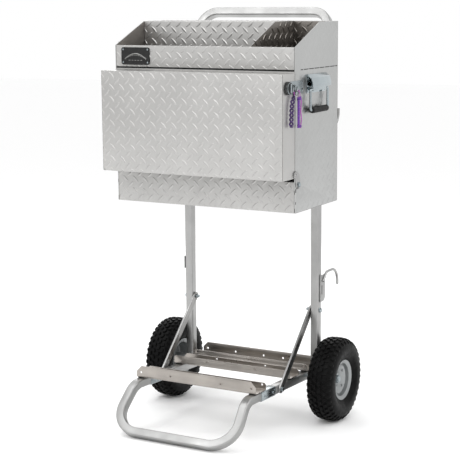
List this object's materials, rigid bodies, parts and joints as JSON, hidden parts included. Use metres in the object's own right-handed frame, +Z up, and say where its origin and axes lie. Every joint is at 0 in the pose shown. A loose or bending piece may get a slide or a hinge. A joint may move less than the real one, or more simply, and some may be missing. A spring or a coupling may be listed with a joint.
{
  "type": "wheeled show box",
  "caption": "Tread-plate aluminium box with an open divided tray, fold-down pan door and side handles, on a two-wheeled hand cart with cross channels and a toe loop.",
  "frame": {"origin": "bottom centre of the overall box, on the ground between the tyres and the toe loop", "axes": "+X towards the side with the lock, +Y to the rear (push bar), +Z up; the door faces -Y"},
  "size_m": [0.646, 0.6253, 1.2344],
  "materials": {
    "tread_plate": "bright tread plate",
    "tube_aluminium": "satin",
    "stainless": "satin",
    "zinc": "zinc plated",
    "chrome": "polished",
    "rim_silver": "satin",
    "tyre_rubber": "matte",
    "pad_rubber": "matte",
    "dark_steel": "satin",
    "name_black": "satin",
    "braid_purple": "braided",
    "ribbon_violet": "woven"
  },
  "bodies": {
    "cart_and_box": {"axle": "zinc", "axle_nut_left": "zinc", "axle_nut_right": "zinc", "back_panel": "tread_plate", "base_rail_left": "tube_aluminium", "base_rail_right": "tube_aluminium", "box_bolt_lower_left": "zinc", "box_bolt_lower_right": "zinc", "box_bolt_upper_left": "zinc", "box_bolt_upper_right": "zinc", "brace_bolt_lower_left": "zinc", "brace_bolt_lower_right": "zinc", "brace_bolt_upper_left": "zinc", "brace_bolt_upper_right": "zinc", "brace_left": "tube_aluminium", "brace_right": "tube_aluminium", "braided_lanyard": "braid_purple", "cabinet_floor": "tread_plate", "cabinet_top": "tread_plate", "cord_hook_lower": "tube_aluminium", "cord_hook_upper": "tube_aluminium", "coupling_sleeve_left": "zinc", "coupling_sleeve_right": "zinc", "door_pivot_rod": "zinc", "front_channel_pad_left": "pad_rubber", "front_channel_pad_right": "pad_rubber", "front_cross_channel": "stainless", "hasp_plate": "zinc", "key_ring": "zinc", "lower_front_panel": "tread_plate", "middle_channel_pad_left": "pad_rubber", "middle_channel_pad_right": "pad_rubber", "middle_cross_channel": "stainless", "name_plate": "name_black", "rear_channel_pad_left": "pad_rubber", "rear_channel_pad_right": "pad_rubber", "rear_cross_channel": "stainless", "ribbon_lanyard": "ribbon_violet", "side_handle_plate_left": "chrome", "side_handle_plate_right": "chrome", "side_panel_left": "tread_plate", "side_panel_right": "tread_plate", "toe_loop": "tube_aluminium", "tray_back_and_ledge": "tread_plate", "tray_divider": "tread_plate", "tray_front": "tread_plate", "upper_frame_loop": "tube_aluminium", "upright_clip": "tube_aluminium"},
    "door": {"door_pan": "tread_plate", "door_ear_left": "zinc", "door_ear_right": "zinc"},
    "lock": {"lock_knob": "dark_steel"},
    "wheel_left": {"tyre_left": "tyre_rubber", "rim_left": "rim_silver"},
    "wheel_right": {"tyre_right": "tyre_rubber", "rim_right": "rim_silver"},
    "side_handle_left": {"side_handle_bail_left": "zinc", "side_handle_grip_left": "pad_rubber"},
    "side_handle_right": {"side_handle_bail_right": "zinc", "side_handle_grip_right": "pad_rubber"}
  },
  "joints": [
    {"name": "wheel_spin_left", "type": "hinge", "parent": "cart_and_box", "child": "wheel_left", "pos_m": [0, 0.18618, 0.1265], "axis": [1, 0, 0], "continuous": true},
    {"name": "wheel_spin_right", "type": "hinge", "parent": "cart_and_box", "child": "wheel_right", "pos_m": [0, 0.18618, 0.1265], "axis": [1, 0, 0], "continuous": true},
    {"name": "door_hinge_turn", "type": "hinge", "parent": "cart_and_box", "child": "door", "pos_m": [0, -0.11396, 0.73804], "axis": [1, 0, 0], "range_deg": [0, 88]},
    {"name": "lock_turn", "type": "hinge", "parent": "door", "child": "lock", "pos_m": [0.291, -0.19355, 1.00359], "axis": [1, 0, 0], "range_deg": [0, 90]},
    {"name": "side_handle_left_swing", "type": "hinge", "parent": "cart_and_box", "child": "side_handle_left", "pos_m": [-0.302, -0.01428, 1.00203], "axis": [0, 0.9989, 0.0471], "range_deg": [0, 90]},
    {"name": "side_handle_right_swing", "type": "hinge", "parent": "cart_and_box", "child": "side_handle_right", "pos_m": [0.302, -0.01428, 1.00203], "axis": [0, -0.9989, -0.0471], "range_deg": [0, 90]}
  ]
}
